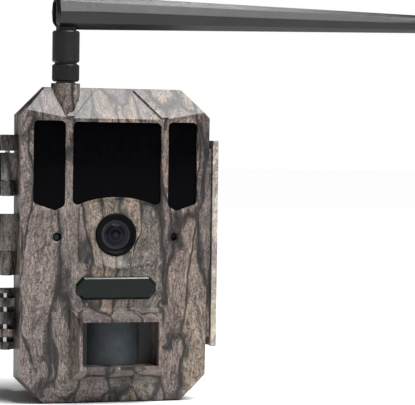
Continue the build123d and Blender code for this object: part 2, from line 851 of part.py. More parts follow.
def paddle_section(half_height, thickness):
    """Flattened section: a crease along the middle of each broad face and a ridge near each edge."""
    quarter = [
        (0.5 * thickness, 0.0),
        (0.37 * thickness, 0.64 * half_height),
        (0.10 * thickness, half_height),
    ]
    upper = quarter + [(-across, height) for across, height in reversed(quarter)]
    lower = [(across, -height) for across, height in reversed(upper[1:-1])]
    Polygon(*upper, *lower, align=None)


with BuildPart() as antenna_paddle:
    root_plane = Plane(origin=(antenna_x, -antenna_forward, tilt_height), x_dir=(0, 1, 0), z_dir=(1, 0, 0))
    # Blade with a small bevel around each end, as (distance, half height, thickness)
    root = (paddle_root_half, paddle_root_thickness)
    tip = (paddle_tip_half, paddle_tip_thickness)
    stations = [
        (-paddle_root_end, root[0] - paddle_end_bevel, root[1] - 2 * paddle_end_bevel),
        (paddle_end_bevel - paddle_root_end, *root),
        (paddle_reach - paddle_end_bevel, *tip),
        (paddle_reach, tip[0] - paddle_end_bevel, tip[1] - 2 * paddle_end_bevel),
    ]
    for near, far in zip(stations, stations[1:]):
        for distance, half_height, thickness in (near, far):
            with BuildSketch(root_plane.offset(distance)):
                paddle_section(half_height, thickness)
        loft(ruled=True)
    # Root corners rounded so that they clear the base as the paddle folds
    with BuildSketch(forward(antenna_forward - paddle_root_thickness)):
        with Locations((antenna_x - paddle_root_end, tilt_height)):
            Rectangle(paddle_reach + paddle_root_end + 1.0, 2 * paddle_root_half + 1.0,
                      align=(Align.MIN, Align.CENTER))
            Rectangle(paddle_root_corner, 2 * paddle_root_half + 1.0, align=(Align.MIN, Align.CENTER),
                      mode=Mode.SUBTRACT)
            Rectangle(paddle_root_corner, 2 * (paddle_root_half - paddle_root_corner),
                      align=(Align.MIN, Align.CENTER))
        corner_x = antenna_x - paddle_root_end + paddle_root_corner
        corner_rise = paddle_root_half - paddle_root_corner
        with Locations((corner_x, tilt_height - corner_rise), (corner_x, tilt_height + corner_rise)):
            Circle(paddle_root_corner)
    extrude(amount=2 * paddle_root_thickness, mode=Mode.INTERSECT)
    # Slot for the tongue, open below and behind
    slot_top = tongue_half_width + tongue_play
    with Locations((antenna_x + slot_top, -antenna_forward, tilt_height + slot_top)):
        Box(30, tongue_thickness + 0.4, 2 * paddle_root_half + 2, align=(Align.MAX, Align.CENTER, Align.MAX),
            mode=Mode.SUBTRACT)
    with BuildSketch(forward(antenna_forward - paddle_root_thickness / 2 - 1.0)):
        with Locations((antenna_x, tilt_height)):
            Circle(tilt_pin_radius + pin_play)
    extrude(amount=tilt_pin_length + 1.7, mode=Mode.SUBTRACT)
antenna_paddle.part.label = "antenna_paddle"
export_step(antenna_paddle.part, "parts/antenna_paddle.step")

# ------------------------------------------------------------------ rear half

rear_front = parting - parting_gap
rim_depth = 5.0
rim_inset = 1.6
rim_width = 4.4
groove_inset = 2.8           # of the seal's groove in the rim
groove_width = 2.0
groove_depth = 1.6
seal_play = 0.05
trim = 0.5                   # cut away from below the flat bottom
latch_lugs = [(30.0, 37.0), (71.0, 78.0), (112.0, 119.0)]

with BuildPart() as rear_case:
    with BuildSketch(forward(rear_front)):
        case_outline(foot=trim)
    with BuildSketch(forward(back)):
        case_outline(narrowing=rear_narrowing, drop=rear_drop, foot=trim)
    loft(ruled=True)
    split(bisect_by=Plane.XY, keep=Keep.TOP)
    offset(amount=-wall, openings=rear_case.faces().sort_by(Axis.Y)[0], kind=Kind.INTERSECTION)

    # Thick rim with the groove of the seal
    with BuildSketch(forward(rear_front)):
        case_outline(inset=rim_inset)
        offset(amount=-rim_width, kind=Kind.INTERSECTION, mode=Mode.SUBTRACT)
    extrude(amount=-rim_depth)
    with BuildSketch(forward(rear_front)):
        case_outline(inset=groove_inset)
        offset(amount=-groove_width, kind=Kind.INTERSECTION, mode=Mode.SUBTRACT)
    extrude(amount=-groove_depth, mode=Mode.SUBTRACT)

    # Posts that carry the battery tray, and the boss of the tripod thread
    with BuildSketch(forward(back + 1.0)):
        with GridLocations(*battery_post_spacing, 2, 2):
            with Locations((0, battery_post_middle)):
                Circle(battery_post_radius)
    extrude(amount=tray_back - back - 1.0)
    with BuildSketch(Plane.XY.offset(1.0)):
        Circle(insert_boss_radius)
    extrude(amount=insert_boss_end - 1.0)
    with BuildSketch(Plane.XY):
        RegularPolygon(insert_flats / 2, 6, major_radius=False)
    extrude(amount=insert_length, mode=Mode.SUBTRACT)
    with BuildSketch(Plane.XY):
        with Locations((jack_x, jack_y)):
            Circle(jack_recess_radius)
    extrude(amount=wall + 1.0, mode=Mode.SUBTRACT)
    with BuildSketch(forward(back + wall)):
        with Locations(*bracket_screws):
            Circle(bracket_post_radius)
    extrude(amount=bracket_post_length)
    with BuildSketch(forward(back)):
        with Locations(*bracket_screws):
            Circle(bracket_pilot_radius)
    extrude(amount=bracket_post_length + 1.0, mode=Mode.SUBTRACT)

    # Hinge knuckles and latch lugs
    for low, high in rear_knuckles:
        with BuildSketch(Plane.XY.offset(low)):
            with Locations((hinge_x, -parting)):
                Circle(knuckle_radius)
            with Locations((hinge_x, -rear_front)):
                Rectangle(knuckle_web, knuckle_radius - parting_gap, align=(Align.MIN, Align.MIN))
        extrude(amount=high - low)
        with Locations((hinge_x, -parting, low)):
            Cylinder(pin_radius + pin_play, high - low, align=(Align.CENTER, Align.CENTER, Align.MIN),
                     mode=Mode.SUBTRACT)
    for low, high in hinge_plates:
        with BuildSketch(Plane.XY.offset(low)):
            with Locations((hinge_x - knuckle_radius, -parting + knuckle_radius + hinge_plate_gap)):
                Rectangle(hinge_plate_width, hinge_plate_thickness, align=(Align.MIN, Align.MIN))
        extrude(amount=high - low)
    for low, high in latch_lugs:
        with BuildSketch(Plane.XY.offset(low)):
            with Locations((latch_x, -latch_forward)):
                Circle(latch_knuckle_radius)
                Rectangle(5.9, 2 * latch_knuckle_radius, align=(Align.MAX, Align.CENTER))
        extrude(amount=high - low)
        with Locations((latch_x, -latch_forward, low)):
            Cylinder(pin_radius + pin_play, high - low, align=(Align.CENTER, Align.CENTER, Align.MIN),
                     mode=Mode.SUBTRACT)
rear_case.part.label = "rear_case"
export_step(rear_case.part, "parts/rear_case.step")

with BuildPart() as case_gasket:
    with BuildSketch(forward(rear_front - 0.1)):
        case_outline(inset=groove_inset + seal_play)
        offset(amount=2 * seal_play - groove_width, kind=Kind.INTERSECTION, mode=Mode.SUBTRACT)
    extrude(amount=0.1 + seal_play - groove_depth)
case_gasket.part.label = "case_gasket"
export_step(case_gasket.part, "parts/case_gasket.step")

# Hinge pins: one for each group of knuckles
with BuildPart() as hinge_pins:
    for low, high in ((97.2, 125.0), (60.1, 87.9), (25.4, 53.2)):
        with Locations((hinge_x, -parting, low)):
            Cylinder(pin_radius, high - low, align=(Align.CENTER, Align.CENTER, Align.MIN))
hinge_pins.part.label = "hinge_pins"
export_step(hinge_pins.part, "parts/hinge_pins.step")

# Latch: a long lever on a pin beside the rear case, with a lip in front of the keeper
lever_knuckles = [(latch_low, 29.7), (37.3, 70.7), (78.3, 111.7), (119.3, latch_high)]

with BuildPart() as latch_lever:
    with BuildSketch(Plane.XY.offset(latch_low)):
        with Locations((latch_outer, -latch_front)):
            Rectangle(latch_plate, latch_front - lever_back, align=(Align.MAX, Align.MIN))
            Rectangle(latch_outer - latch_lip_inner, lever_lip, align=(Align.MAX, Align.MIN))
    extrude(amount=latch_high - latch_low)
    with Locations((latch_outer, -grip_forward, (latch_low + latch_high) / 2)):
        with GridLocations(1, 2.4, 1, 3):
            Box(grip_width, grip_width, grip_length)
    for low, high in lever_knuckles:
        with BuildSketch(Plane.XY.offset(low)):
            with Locations((latch_x, -latch_forward)):
                Circle(latch_knuckle_radius)
            with Locations((latch_outer, -18.0)):
                Rectangle(latch_plate, 3.0, align=(Align.MAX, Align.MIN))
        extrude(amount=high - low)
        with Locations((latch_x, -latch_forward, low)):
            Cylinder(pin_radius + pin_play, high - low, align=(Align.CENTER, Align.CENTER, Align.MIN),
                     mode=Mode.SUBTRACT)
latch_lever.part.label = "latch_lever"
export_step(latch_lever.part, "parts/latch_lever.step")

with BuildPart() as latch_pin:
    with Locations((latch_x, -latch_forward, 27.0)):
        Cylinder(pin_radius, 95.5, align=(Align.CENTER, Align.CENTER, Align.MIN))
latch_pin.part.label = "latch_pin"
export_step(latch_pin.part, "parts/latch_pin.step")

# ------------------------------------------------------------ battery compartment

cell_columns = [cell_pitch * (column - 1.5) for column in range(4)]
tray_middle = (tray_low + tray_high) / 2

with BuildPart() as battery_tray:
    with BuildSketch(forward(tray_back)):
        with Locations((0, tray_middle)):
            Rectangle(2 * tray_half_width, tray_high - tray_low)
    extrude(amount=tray_front - tray_back)
    for row_low in row_lows:
        for column_x in cell_columns:
            with Locations((column_x, -cell_forward, row_low)):
                Cylinder(cell_radius + 0.1, row_length, align=(Align.CENTER, Align.CENTER, Align.MIN),
                         mode=Mode.SUBTRACT)
    with Locations((0, -tray_front, tray_low)):
        with Locations((0, 0, 14.0), (0, 0, tray_high - tray_low - 14.0)):
            Box(2 * tray_half_width + 2, 4.0, 9.0, mode=Mode.SUBTRACT)
battery_tray.part.label = "battery_tray"
export_step(battery_tray.part, "parts/battery_tray.step")


def cell_ends(row_low, column):
    """Height of a cell's lower end, and whether its nub points up."""
    nub_up = column % 2 == 0
    seat = contact_thickness + spring_height
    low = row_low + seat if nub_up else row_low + row_length - seat - cell_body
    return low, nub_up


with BuildPart() as aa_cells:
    for row_low in row_lows:
        for column, column_x in enumerate(cell_columns):
            low, nub_up = cell_ends(row_low, column)
            with Locations((column_x, -cell_forward, low)):
                Cylinder(cell_radius, cell_body, align=(Align.CENTER, Align.CENTER, Align.MIN))
            nub_low = low + cell_body if nub_up else low - nub_height
            with Locations((column_x, -cell_forward, nub_low)):
                Cylinder(nub_radius, nub_height, align=(Align.CENTER, Align.CENTER, Align.MIN))
aa_cells.part.label = "aa_cells"
export_step(aa_cells.part, "parts/aa_cells.step")

# Contact plates at both ends of every cell, and a coil under each flat end
with BuildPart() as battery_contacts:
    for row_low in row_lows:
        for column_x in cell_columns:
            for contact_low in (row_low, row_low + row_length - contact_thickness):
                with Locations((column_x, -cell_forward, contact_low)):
                    Box(*contact_size, contact_thickness, align=(Align.CENTER, Align.CENTER, Align.MIN))
battery_contacts.part.label = "battery_contacts"
export_step(battery_contacts.part, "parts/battery_contacts.step")

with BuildPart() as battery_springs:
    for row_low in row_lows:
        for column, column_x in enumerate(cell_columns):
            nub_up = column % 2 == 0
            spring_low = row_low + contact_thickness
            if not nub_up:
                spring_low = row_low + row_length - contact_thickness - spring_height
            for turn, turn_radius in enumerate((3.2, 2.7, 2.2)):
                rise = turn * 0.55 if nub_up else spring_height - 0.6 - turn * 0.55
                with BuildSketch(Plane.XY.offset(spring_low + rise)):
                    with Locations((column_x, -cell_forward)):
                        Circle(turn_radius)
                        Circle(turn_radius - 0.6, mode=Mode.SUBTRACT)
                extrude(amount=0.6)
battery_springs.part.label = "battery_springs"
export_step(battery_springs.part, "parts/battery_springs.step")

# -------------------------------------------------------- bottom and back fittings

with BuildPart() as tripod_insert:
    with BuildSketch(Plane.XY):
        RegularPolygon(insert_flats / 2, 6, major_radius=False)
        Circle(thread_radius, mode=Mode.SUBTRACT)
    extrude(amount=insert_length)
tripod_insert.part.label = "tripod_insert"
export_step(tripod_insert.part, "parts/tripod_insert.step")

with BuildPart() as dc_jack:
    with Locations((jack_x, jack_y, wall + 0.1)):
        Cylinder(5.4, 11.0, align=(Align.CENTER, Align.CENTER, Align.MIN))
        Cylinder(2.75, 9.5, align=(Align.CENTER, Align.CENTER, Align.MIN), mode=Mode.SUBTRACT)
        Cylinder(0.65, 10.0, align=(Align.CENTER, Align.CENTER, Align.MIN))
dc_jack.part.label = "dc_jack"
export_step(dc_jack.part, "parts/dc_jack.step")

with BuildPart() as dc_plug:
    with Locations((jack_x, jack_y, 0.2)):
        Cylinder(5.3, wall - 0.3, align=(Align.CENTER, Align.CENTER, Align.MIN))
    with Locations((jack_x, jack_y, wall - 0.1)):
        Cylinder(2.6, 6.0, align=(Align.CENTER, Align.CENTER, Align.MIN))
        Cylinder(1.0, 6.0, align=(Align.CENTER, Align.CENTER, Align.MIN), mode=Mode.SUBTRACT)
dc_plug.part.label = "dc_plug"
export_step(dc_plug.part, "parts/dc_plug.step")

with BuildPart() as tree_bracket:
    bracket_length = bracket_high - bracket_low
    bracket_middle = (bracket_low + bracket_high) / 2
    with Locations((0, -back, bracket_middle)):
        Box(2 * bracket_half_width, bracket_plate, bracket_length,
            align=(Align.CENTER, Align.MIN, Align.CENTER))
    with BuildSketch(Plane.YZ.offset(bracket_half_width - 3.0)):
        with BuildLine():
            teeth = 8
            tooth = bracket_length / teeth
            tips = []
            for index in range(teeth):
                tips.append((-back + bracket_reach - 2.0, bracket_low + index * tooth))
                tips.append((-back + bracket_reach, bracket_low + (index + 0.5) * tooth))
            tips.append((-back + bracket_reach - 2.0, bracket_high))
            Polyline((-back, bracket_high), (-back, bracket_low), *tips, (-back, bracket_high))
        make_face()
        with Locations((-back + bracket_plate + 4.6, bracket_middle)):
            Rectangle(strap_slot_width, strap_slot_length, mode=Mode.SUBTRACT)
    extrude(amount=3.0)
    mirror(about=Plane.YZ)
    with BuildSketch(forward(back)):
        with Locations(*bracket_screws):
            Circle(1.35)
    extrude(amount=-bracket_plate, mode=Mode.SUBTRACT)
tree_bracket.part.label = "tree_bracket"
export_step(tree_bracket.part, "parts/tree_bracket.step")

with BuildPart() as bracket_screws_part:
    with BuildSketch(forward(back - bracket_plate)):
        with Locations(*bracket_screws):
            Circle(2.6)
    extrude(amount=-1.6)
    with BuildSketch(forward(back - bracket_plate)):
        with Locations(*bracket_screws):
            Circle(1.25)
    extrude(amount=bracket_plate + 5.0)
    with BuildSketch(forward(back - bracket_plate - 1.6)):
        for angle in (0, 90):
            with Locations(*[Location((x, z, 0), (0, 0, angle)) for x, z in bracket_screws]):
                Rectangle(3.0, 0.7)
    extrude(amount=0.8, mode=Mode.SUBTRACT)
bracket_screws_part.part.label = "bracket_screws"
export_step(bracket_screws_part.part, "parts/bracket_screws.step")
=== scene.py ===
import json
import math

import bpy
from mathutils import Matrix, Vector


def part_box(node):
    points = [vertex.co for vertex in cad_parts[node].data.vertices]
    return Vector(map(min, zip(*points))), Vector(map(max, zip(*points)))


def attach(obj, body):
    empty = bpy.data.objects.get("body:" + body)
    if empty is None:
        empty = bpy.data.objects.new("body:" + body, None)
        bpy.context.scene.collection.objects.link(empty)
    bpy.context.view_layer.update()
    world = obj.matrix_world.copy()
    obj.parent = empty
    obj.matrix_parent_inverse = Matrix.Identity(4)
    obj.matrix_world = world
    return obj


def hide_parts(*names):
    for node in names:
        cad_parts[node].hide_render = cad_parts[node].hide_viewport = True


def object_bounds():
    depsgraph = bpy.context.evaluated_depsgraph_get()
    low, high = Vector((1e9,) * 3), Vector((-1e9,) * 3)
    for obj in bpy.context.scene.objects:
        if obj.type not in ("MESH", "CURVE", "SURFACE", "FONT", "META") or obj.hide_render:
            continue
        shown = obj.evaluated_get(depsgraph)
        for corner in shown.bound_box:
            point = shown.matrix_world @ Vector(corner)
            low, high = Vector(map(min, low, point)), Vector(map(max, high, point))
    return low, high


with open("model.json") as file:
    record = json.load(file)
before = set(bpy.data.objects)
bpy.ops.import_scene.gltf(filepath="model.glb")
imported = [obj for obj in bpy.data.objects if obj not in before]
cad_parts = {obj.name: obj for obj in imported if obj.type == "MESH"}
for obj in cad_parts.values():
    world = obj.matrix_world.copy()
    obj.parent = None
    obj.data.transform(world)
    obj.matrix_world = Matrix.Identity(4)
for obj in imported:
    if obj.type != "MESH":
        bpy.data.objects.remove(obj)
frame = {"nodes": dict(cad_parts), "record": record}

# Looks of the trail camera: camera, lights, procedural materials, rounded edges and the fine
# pieces that the CAD model leaves plain. Everything is in metres, in the frame of the CAD model.

MM = 0.001
cad_low, cad_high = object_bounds()
nodes = frame["nodes"]

# ------------------------------------------------------------------ camera and lights

FACE_Y = -32.1 * MM              # plane of the front face
VIEW_TURN = math.radians(19.0)   # the camera stands to the left of the lens axis
VIEW_TILT = math.radians(1.38)   # and looks slightly down
VIEW_ROLL = math.radians(0.76)
VIEW_DISTANCE = 1.036            # from the camera to the target
VIEW_TARGET = Vector((44.9 * MM, FACE_Y, 94.5 * MM))
FOCAL_WIDTHS = 2177.0 / 415.0    # focal length over the width of the picture, both in pixels
SENSOR_WIDTH = 36.0              # millimetres, as Blender takes it
CLIP_NEAR, CLIP_FAR = 0.01, 50.0

ahead = Vector((
    math.sin(VIEW_TURN) * math.cos(VIEW_TILT),
    math.cos(VIEW_TURN) * math.cos(VIEW_TILT),
    -math.sin(VIEW_TILT),
))
level_right = Vector((math.cos(VIEW_TURN), -math.sin(VIEW_TURN), 0.0))
level_up = level_right.cross(ahead)
right = level_right * math.cos(VIEW_ROLL) + level_up * math.sin(VIEW_ROLL)
up = level_up * math.cos(VIEW_ROLL) - level_right * math.sin(VIEW_ROLL)
camera = bpy.data.objects.new("camera", bpy.data.cameras.new("camera"))
bpy.context.scene.collection.objects.link(camera)
camera.data.sensor_width = SENSOR_WIDTH
camera.data.lens = SENSOR_WIDTH * FOCAL_WIDTHS
camera.data.clip_start, camera.data.clip_end = CLIP_NEAR, CLIP_FAR
rotation = Matrix((right, up, -ahead)).transposed()
camera.matrix_world = Matrix.Translation(VIEW_TARGET - ahead * VIEW_DISTANCE) @ rotation.to_4x4()
bpy.context.scene.camera = camera


LIGHT_AIM = Vector((0.0, 0.0, 0.09))     # near the middle of the case


def softbox(name, place, size, power):
    """White rectangular area light at a place, aimed at the case."""
    light = bpy.data.objects.new(name, bpy.data.lights.new(name, "AREA"))
    bpy.context.scene.collection.objects.link(light)
    light.data.shape = "RECTANGLE"
    light.data.size, light.data.size_y = size
    light.data.energy = power
    light.location = place
    light.rotation_euler = (LIGHT_AIM - Vector(place)).to_track_quat("-Z", "Y").to_euler()


KEY_SIDE = math.radians(30.0)      # the key light stands right of the lens axis
KEY_HEIGHT = math.radians(56.0)    # and high above it
SUN_POWER = 3.6                    # watts per square metre
SUN_SPREAD = math.radians(50.0)    # wide, for soft shadows
KEY_BOX = {"size": (0.8, 0.5), "power": 6.0}
KEY_BOX_DISTANCE = 1.3
TOP_BOX = {"place": (0.36, -0.04, 1.15), "size": (0.62, 0.10), "power": 6.5}
BACKDROP_SEEN = 1.0                # brightness of the backdrop to the camera
BACKDROP_FELT = 0.12               # and as light on the object

key_from = Vector((
    math.sin(KEY_SIDE) * math.cos(KEY_HEIGHT),
    -math.cos(KEY_SIDE) * math.cos(KEY_HEIGHT),
    math.sin(KEY_HEIGHT),
))
sun = bpy.data.objects.new("broad_key", bpy.data.lights.new("broad_key", "SUN"))
bpy.context.scene.collection.objects.link(sun)
sun.data.energy = SUN_POWER
sun.data.angle = SUN_SPREAD
sun.rotation_euler = key_from.to_track_quat("Z", "Y").to_euler()
softbox("key_box", key_from * KEY_BOX_DISTANCE, **KEY_BOX)
softbox("top_box", **TOP_BOX)


def studio_world(seen, felt):
    """White backdrop behind the object, dimmer where it only lights the object."""
    world = bpy.data.worlds.new("studio")
    bpy.context.scene.world = world
    world.use_nodes = True
    tree = world.node_tree
    backdrop = tree.nodes["Background"]
    path = tree.nodes.new("ShaderNodeLightPath")
    strength = tree.nodes.new("ShaderNodeMapRange")
    strength.inputs["To Min"].default_value = felt
    strength.inputs["To Max"].default_value = seen
    tree.links.new(path.outputs["Is Camera Ray"], strength.inputs["Value"])
    tree.links.new(strength.outputs["Result"], backdrop.inputs["Strength"])
    backdrop.inputs["Color"].default_value = (1.0, 1.0, 1.0, 1.0)


studio_world(BACKDROP_SEEN, BACKDROP_FELT)
bpy.context.scene.view_settings.view_transform = "Standard"

# ------------------------------------------------------------------ material helpers


def srgb(red, green, blue):
    """Linear colour with alpha from 0 to 255 display values."""
    def linear(value):
        value /= 255.0
        return value / 12.92 if value <= 0.04045 else ((value + 0.055) / 1.055) ** 2.4
    return (linear(red), linear(green), linear(blue), 1.0)


class Shader:
    """A node material around one Principled shader, with short calls for its nodes."""

    def __init__(self, name, **sockets):
        self.material = bpy.data.materials.new(name)
        self.material.use_nodes = True
        self.tree = self.material.node_tree
        self.surface = self.tree.nodes["Principled BSDF"]
        coordinates = self.tree.nodes.new("ShaderNodeTexCoord")
        self.place = coordinates.outputs["Object"]
        self.set(**sockets)

    def set(self, **sockets):
        """Set sockets of the shader, written with _ for spaces, to values or links."""
        for key, value in sockets.items():
            self.plug(self.surface.inputs[key.replace("_", " ")], value)

    def plug(self, socket, value):
        """Link a socket to an output, or give it a value."""
        if isinstance(value, bpy.types.NodeSocket):
            self.tree.links.new(value, socket)
        else:
            socket.default_value = value

    def node(self, kind, output=0, values=(), **settings):
        """New node with settings, its inputs given in a dictionary, and one of its outputs."""
        made = self.tree.nodes.new("ShaderNode" + kind)
        for key, value in settings.items():
            setattr(made, key, value)
        for key, value in dict(values).items():
            self.plug(made.inputs[key], value)
        return made.outputs[output]

    def math(self, operation, first, second=0.5, third=0.0, clamp=False):
        values = {0: first, 1: second, 2: third}
        return self.node("Math", values=values, operation=operation, use_clamp=clamp)

    def across_and_up(self):
        """The x and z coordinates of a point in the object's frame."""
        across = self.node("SeparateXYZ", values={0: self.place})
        return across, across.node.outputs[2]

    def scaled(self, scale, source=None, move=(0.0, 0.0, 0.0)):
        """Coordinates stretched by a scale along each axis."""
        values = {"Vector": source or self.place, "Scale": scale, "Location": move}
        return self.node("Mapping", values=values)

    def noise(self, scale, source=None, detail=4.0, rough=0.55, output=0):
        """Noise around 0.5, or its colour at output 1."""
        values = {"Vector": source or self.place, "Scale": scale, "Detail": detail, "Roughness": rough}
        return self.node("TexNoise", output, values)

    def ramp(self, factor, *stops):
        """Colour ramp through (position, colour) stops; a bare number is a grey."""
        made = self.tree.nodes.new("ShaderNodeValToRGB")
        self.plug(made.inputs[0], factor)
        elements = made.color_ramp.elements
        while len(elements) < len(stops):
            elements.new(0.5)
        for element, (position, colour) in zip(elements, stops):
            element.position = position
            element.color = colour if isinstance(colour, tuple) else (colour,) * 3 + (1.0,)
        return made.outputs[0]

    def mix(self, factor, first, second, blend="MIX"):
        """Colour between two others, or their product and the like for another blend."""
        made = self.tree.nodes.new("ShaderNodeMix")
        made.data_type = "RGBA"
        made.blend_type = blend
        self.plug(made.inputs[0], factor)
        self.plug(made.inputs[6], first)
        self.plug(made.inputs[7], second)
        return made.outputs[2]

    def bump(self, height, strength, distance):
        values = {"Height": height, "Strength": strength, "Distance": distance}
        return self.node("Bump", values=values)


# ------------------------------------------------------------------ bark camouflage


def bark(name, lighten=1.0, tint=(1.0, 1.0, 1.0), crack=1.0, contrast=1.0):
    """Bark print: tall grey, beige and brown plates parted by dark furrows, with checks and grain.

    lighten and tint multiply the print's colours, crack deepens its lines and contrast its specks.
    """
    s = Shader(name)

    def wandering(source, scale, reach):
        """Coordinates pushed about by a noise, so that straight lines bend."""
        drift = s.noise(1.0, s.scaled(scale, source), detail=3.0, output=1)
        drift = s.node("VectorMath", values={0: drift, 1: (0.5, 0.5, 0.5)}, operation="SUBTRACT")
        drift = s.node("VectorMath", values={0: drift, "Scale": reach}, operation="SCALE")
        return s.node("VectorMath", values={0: source, 1: drift}, operation="ADD")

    def cells(scale, seed, feature, output=0):
        """Stretched cells: distances at output 0, or a random colour for each at output 1."""
        values = {"Vector": s.scaled(scale, bent, seed), "Scale": 1.0, "Randomness": 1.0}
        return s.node("TexVoronoi", output, values, feature=feature)

    def edges(scale, seed, width):
        """1 on the borders between cells, fading to 0 at a width from them."""
        away = s.math("DIVIDE", cells(scale, seed, "DISTANCE_TO_EDGE"), width)
        return s.math("SUBTRACT", 1.0, away, clamp=True)

    def lines(scale, width, seed, detail=2.0):
        """Dark lines of a given width where a stretched noise crosses its middle."""
        field = s.noise(1.0, s.scaled(scale, bent, seed), detail=detail, rough=0.5)
        away = s.math("ABSOLUTE", s.math("SUBTRACT", field, 0.5))
        return s.math("SUBTRACT", 1.0, s.math("DIVIDE", away, width), clamp=True)

    def where(scale, low, high, seed):
        """Smooth patches that are 0 under the low value of a noise and 1 over the high one."""
        return s.ramp(s.noise(1.0, s.scaled(scale, s.place, seed), detail=3.0), (low, 0.0), (high, 1.0))

    bent = wandering(s.place, (38, 38, 20), 0.020)
    bent = wandering(bent, (260, 260, 120), 0.0030)
    plates = ((84, 84, 11), (2.0, 7.0, 1.0))        # scale along each axis and seed
    chips = ((210, 210, 52), (5.0, 1.0, 3.0))
    plate_tone = s.node("SeparateColor", 0, {0: cells(*plates, "F1", 1)})
    chip_tone = s.node("SeparateColor", 1, {0: cells(*chips, "F1", 1)})
    furrow_width = s.noise(1.0, s.scaled((120, 120, 34)), detail=3.0)
    furrow_width = s.math("MAXIMUM", s.math("MULTIPLY_ADD", furrow_width, 0.42, -0.130), 0.008)
    furrow = s.math("POWER", edges(*plates, furrow_width), 0.5, clamp=True)
    chip_edge = s.math("MULTIPLY", edges(*chips, 1.0 / 15.0),
                       where((110, 110, 50), 0.46, 0.60, (6.0, 2.0, 8.0)))

    grain = s.noise(1.0, s.scaled((1300, 1300, 130), bent), detail=6.0, rough=0.7)
    fleck = s.noise(1.0, s.scaled((1500, 1500, 900), bent, (2.0, 5.0, 9.0)), detail=4.0, rough=0.75)
    smudge = s.noise(1.0, s.scaled((95, 95, 46), bent, (9.0, 4.0, 2.0)), detail=5.0, rough=0.65)

    ground = s.ramp(
        plate_tone,
        (0.00, srgb(122, 108, 108)), (0.16, srgb(160, 148, 142)), (0.32, srgb(116, 114, 108)),
        (0.46, srgb(184, 166, 146)), (0.60, srgb(128, 114, 116)), (0.74, srgb(206, 184, 158)),
        (0.86, srgb(108, 98, 102)), (1.00, srgb(170, 156, 150)),
    )
    ground = s.mix(s.ramp(chip_tone, (0.0, 0.0), (1.0, 0.45 * contrast)), ground, srgb(96, 88, 88))
    # Each noise darkens its low values towards one tone and lightens its high ones towards another
    for field, dark_at, darken, dark_tone, light_at, brighten, light_tone in (
        (smudge, (0.34, 0.47), 0.80, srgb(70, 64, 66), (0.56, 0.68), 0.60, srgb(204, 192, 174)),
        (grain, (0.34, 0.52), 0.85, srgb(62, 55, 54), (0.54, 0.72), 0.70, srgb(214, 206, 194)),
        (fleck, (0.38, 0.48), 0.95, srgb(34, 28, 29), (0.57, 0.70), 0.65, srgb(216, 208, 200)),
    ):
        dark = s.ramp(field, (dark_at[0], darken * contrast), (dark_at[1], 0.0))
        ground = s.mix(dark, ground, dark_tone)
        light = s.ramp(field, (light_at[0], 0.0), (light_at[1], brighten))
        ground = s.mix(light, ground, light_tone)

    # Short level checks, long upright lines, the chips' edges and the furrows, palest first
    checks = s.math("MULTIPLY", lines((190, 190, 560), 0.022, (4.0, 9.0, 1.0)),
                    where((120, 120, 90), 0.46, 0.58, (3.0, 6.0, 2.0)))
    uprights = s.math("MULTIPLY", lines((240, 240, 46), 0.026, (7.0, 3.0, 8.0)),
                      where((80, 80, 30), 0.42, 0.55, (1.0, 1.0, 9.0)))
    for mask, strength, tone in (
        (chip_edge, 0.7, srgb(50, 43, 42)), (checks, 0.75, srgb(40, 34, 34)),
        (uprights, 0.9, srgb(28, 23, 24)), (furrow, 1.0, srgb(16, 12, 14)),
    ):
        ground = s.mix(s.math("MULTIPLY", mask, strength * crack, clamp=True), ground, tone)
    ground = s.mix(1.0, ground, tuple(lighten * channel for channel in tint) + (1.0,), "MULTIPLY")
    relief = s.math("MULTIPLY", s.noise(5200.0, detail=2.0), 0.25)
    relief = s.math("ADD", relief, s.math("MULTIPLY", furrow, -0.5 * crack))
    s.set(Base_Color=ground, Roughness=s.ramp(grain, (0.3, 0.30), (0.7, 0.46)), Specular_IOR_Level=0.45,
          Normal=s.bump(relief, 0.35, 0.00025))
    return s.material


def moulded(name, colour, rough=0.5, grain=0.3, specular=0.5, wear=0.15):
    """Moulded plastic: fine spark-eroded grain, slight colour drift and scuffs."""
    s = Shader(name, Specular_IOR_Level=specular)
    drift = s.noise(90.0, detail=3.0)
    scuff = s.noise(1.0, s.scaled((900, 900, 300)), detail=6.0, rough=0.7)
    lighter = tuple(min(1.0, channel * (1.0 + wear) + 0.012 * wear) for channel in colour[:3]) + (1.0,)
    base = s.mix(s.ramp(drift, (0.35, 0.0), (0.65, 1.0)), colour, lighter)
    worn = tuple(min(1.0, channel * 1.8 + 0.03 * wear) for channel in colour[:3]) + (1.0,)
    base = s.mix(s.ramp(scuff, (0.62, 0.0), (0.8, wear)), base, worn)
    s.set(Base_Color=base, Roughness=s.ramp(scuff, (0.3, rough - 0.06), (0.7, rough + 0.1)),
          Normal=s.bump(s.noise(3800.0, detail=3.0), grain, 0.0001))
    return s.material


def metal(name, colour, rough=0.28, stretch=(2500, 2500, 200)):
    """Turned or plated metal with fine drawn marks and dull spots."""
    s = Shader(name, Metallic=1.0)
    drawn = s.noise(1.0, s.scaled(stretch), detail=4.0)
    spots = s.noise(420.0, detail=5.0)
    darker = tuple(channel * 0.72 for channel in colour[:3]) + (1.0,)
    s.set(Base_Color=s.mix(s.ramp(spots, (0.40, 0.0), (0.66, 1.0)), colour, darker),
          Roughness=s.ramp(drawn, (0.3, rough - 0.08), (0.7, rough + 0.14)),
          Normal=s.bump(drawn, 0.2, 0.00004))
    return s.material


def window_gloss():
    """Polished infrared-passing acrylic, nearly black."""
    s = Shader("window_black", IOR=1.42, Specular_IOR_Level=0.06)
    haze = s.noise(260.0, detail=5.0)
    s.set(Base_Color=s.mix(haze, (0.0006, 0.0006, 0.0010, 1), (0.0012, 0.0011, 0.0017, 1)),
          Roughness=s.ramp(haze, (0.3, 0.05), (0.75, 0.13)),
          Normal=s.bump(s.noise(130.0, detail=1.0), 0.04, 0.0002))
    return s.material


